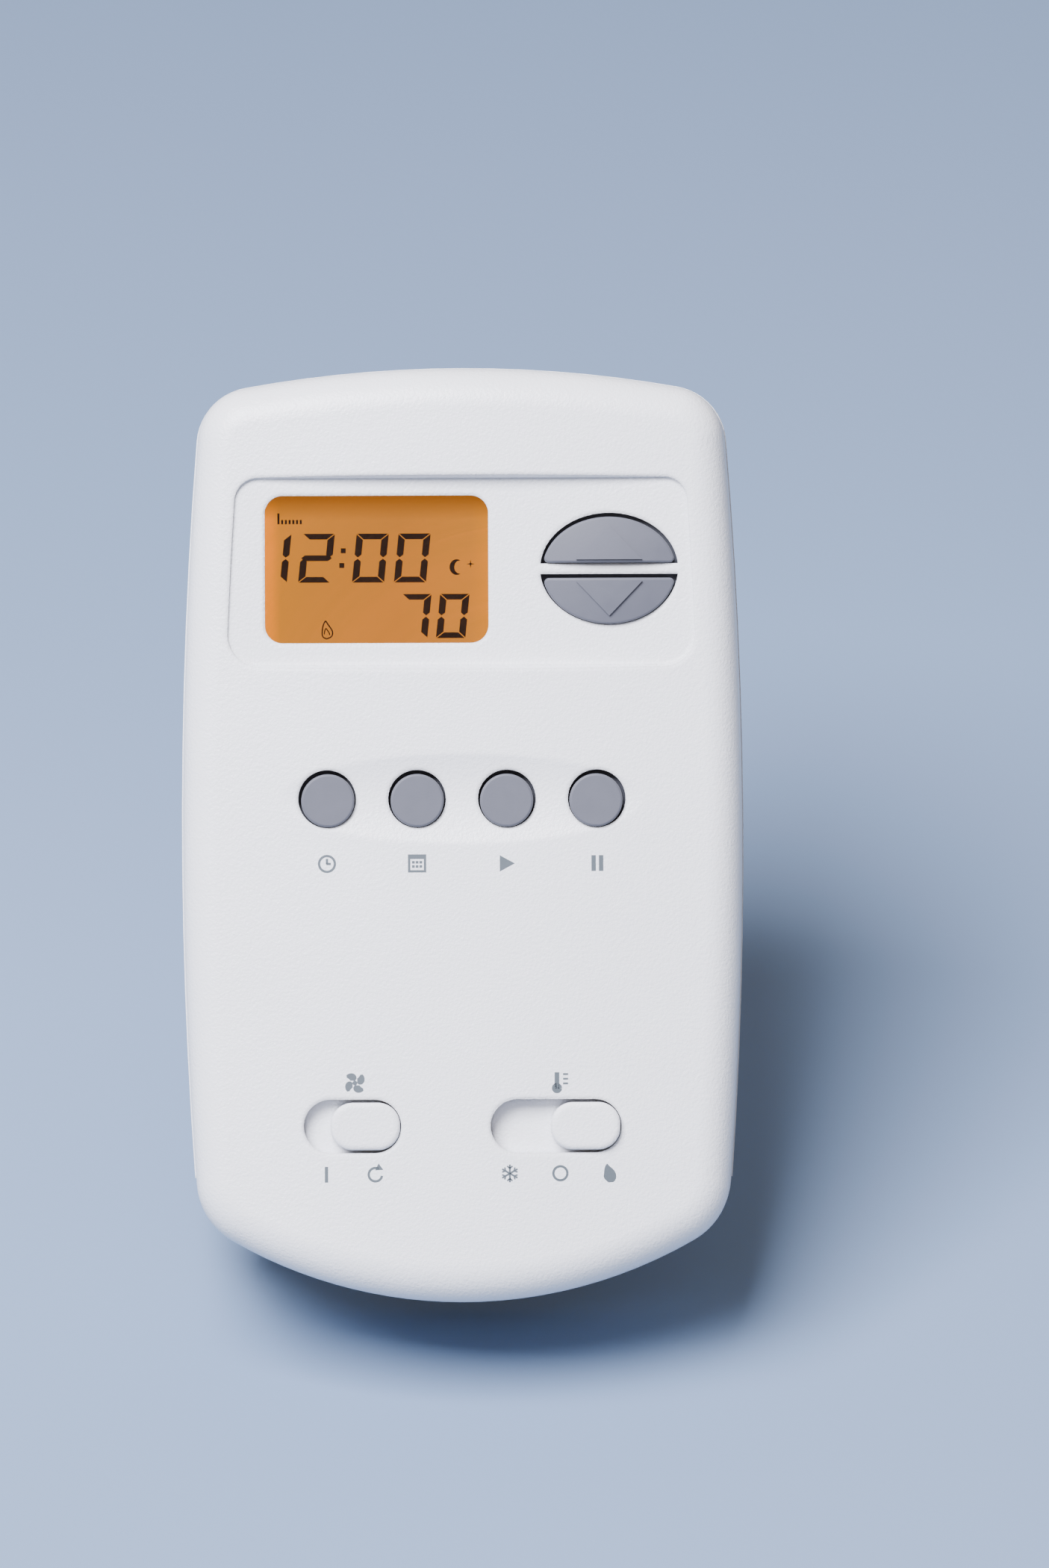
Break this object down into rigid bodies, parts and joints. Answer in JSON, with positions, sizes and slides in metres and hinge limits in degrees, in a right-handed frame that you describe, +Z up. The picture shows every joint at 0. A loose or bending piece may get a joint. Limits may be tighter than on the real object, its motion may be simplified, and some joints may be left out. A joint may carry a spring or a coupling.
{
  "type": "wall thermostat",
  "caption": "Wall thermostat: bowed white cover with a sunk display panel, oval up and down keys, a row of round keys and two slide switches, on a screw-on wall base.",
  "frame": {"origin": "centre of the back face, on the wall, at mid height", "axes": "+Z up, +Y into the wall (the front faces -Y), +X to the right seen from the front"},
  "size_m": [0.073, 0.029, 0.1213],
  "materials": {
    "white_abs": "moulded ABS, spark-eroded grain",
    "plain_abs": "moulded ABS, plain inner parts",
    "clear_polycarbonate": "clear moulded polycarbonate",
    "light_guide_acrylic": "clear acrylic lit amber",
    "cell_glass": "float glass",
    "polarizer_film": "stretched film",
    "amber_led": "cast epoxy lamp",
    "grey_silicone": "compression-moulded silicone, matt",
    "carbon_rubber": "carbon-filled contact rubber",
    "solder_mask_board": "glass-epoxy board, green solder mask",
    "black_moulding": "moulded nylon or epoxy",
    "tinned_steel": "tinned sheet steel",
    "zinc_steel": "zinc-plated steel",
    "tinned_brass": "tin-plated brass",
    "tinned_copper": "tinned copper wire",
    "capacitor_can": "drawn aluminium can",
    "sensor_bead": "epoxy-dipped bead",
    "cell_jacket": "shrink-sleeved steel can"
  },
  "bodies": {
    "wall_base": {"base_plate": "white_abs", "terminal_block": "black_moulding", "terminal_contacts": "tinned_brass", "terminal_screws": "zinc_steel", "jumper_wire": "tinned_copper"},
    "cover": {"backlight_leds": "amber_led", "battery_contacts": "tinned_steel", "battery_holder": "plain_abs", "battery_lower": "cell_jacket", "battery_upper": "cell_jacket", "board_screws": "zinc_steel", "capacitor": "capacitor_can", "control_chip": "black_moulding", "display_window": "clear_polycarbonate", "dome_down": "grey_silicone", "dome_row_1": "grey_silicone", "dome_row_2": "grey_silicone", "dome_row_3": "grey_silicone", "dome_row_4": "grey_silicone", "dome_up": "grey_silicone", "fan_switch": "tinned_steel", "front_cover": "white_abs", "header_pins": "tinned_brass", "keypad_web": "grey_silicone", "lcd_frame": "plain_abs", "lcd_front_glass": "cell_glass", "lcd_front_polarizer": "polarizer_film", "lcd_rear_glass": "cell_glass", "lcd_rear_polarizer": "polarizer_film", "light_guide": "light_guide_acrylic", "main_board": "solder_mask_board", "pin_strip": "black_moulding", "relays": "black_moulding", "selector_body": "black_moulding", "system_switch": "tinned_steel", "thermistor": "sensor_bead", "zebra_strips": "carbon_rubber"},
    "key_up": {"key_up": "grey_silicone", "pill_up": "carbon_rubber"},
    "key_down": {"key_down": "grey_silicone", "pill_down": "carbon_rubber"},
    "key_row_1": {"key_row_1": "grey_silicone", "pill_row_1": "carbon_rubber"},
    "key_row_2": {"key_row_2": "grey_silicone", "pill_row_2": "carbon_rubber"},
    "key_row_3": {"key_row_3": "grey_silicone", "pill_row_3": "carbon_rubber"},
    "key_row_4": {"key_row_4": "grey_silicone", "pill_row_4": "carbon_rubber"},
    "fan_slider": {"fan_knob": "white_abs", "fan_lever": "black_moulding"},
    "system_slider": {"system_knob": "white_abs", "system_lever": "black_moulding"},
    "selector": {"selector_lever": "plain_abs"}
  },
  "joints": [
    {"name": "cover_pull", "type": "slide", "parent": "wall_base", "child": "cover", "axis": [0, -1, 0], "range_m": [0, 0.03]},
    {"name": "press_up", "type": "slide", "parent": "cover", "child": "key_up", "axis": [0, 1, 0], "range_m": [0, 0.0009], "stiffness_N_per_m": 1200, "deforming": ["dome_up"]},
    {"name": "press_down", "type": "slide", "parent": "cover", "child": "key_down", "axis": [0, 1, 0], "range_m": [0, 0.0009], "stiffness_N_per_m": 1200, "deforming": ["dome_down"]},
    {"name": "press_row_1", "type": "slide", "parent": "cover", "child": "key_row_1", "axis": [0, 1, 0], "range_m": [0, 0.0009], "stiffness_N_per_m": 1200, "deforming": ["dome_row_1"]},
    {"name": "press_row_2", "type": "slide", "parent": "cover", "child": "key_row_2", "axis": [0, 1, 0], "range_m": [0, 0.0009], "stiffness_N_per_m": 1200, "deforming": ["dome_row_2"]},
    {"name": "press_row_3", "type": "slide", "parent": "cover", "child": "key_row_3", "axis": [0, 1, 0], "range_m": [0, 0.0009], "stiffness_N_per_m": 1200, "deforming": ["dome_row_3"]},
    {"name": "press_row_4", "type": "slide", "parent": "cover", "child": "key_row_4", "axis": [0, 1, 0], "range_m": [0, 0.0009], "stiffness_N_per_m": 1200, "deforming": ["dome_row_4"]},
    {"name": "fan_slide", "type": "slide", "parent": "cover", "child": "fan_slider", "axis": [-1, 0, 0], "range_m": [0, 0.0033]},
    {"name": "system_slide", "type": "slide", "parent": "cover", "child": "system_slider", "axis": [-1, 0, 0], "range_m": [0, 0.0076]},
    {"name": "selector_slide", "type": "slide", "parent": "cover", "child": "selector", "axis": [1, 0, 0], "range_m": [0, 0.002]}
  ]
}
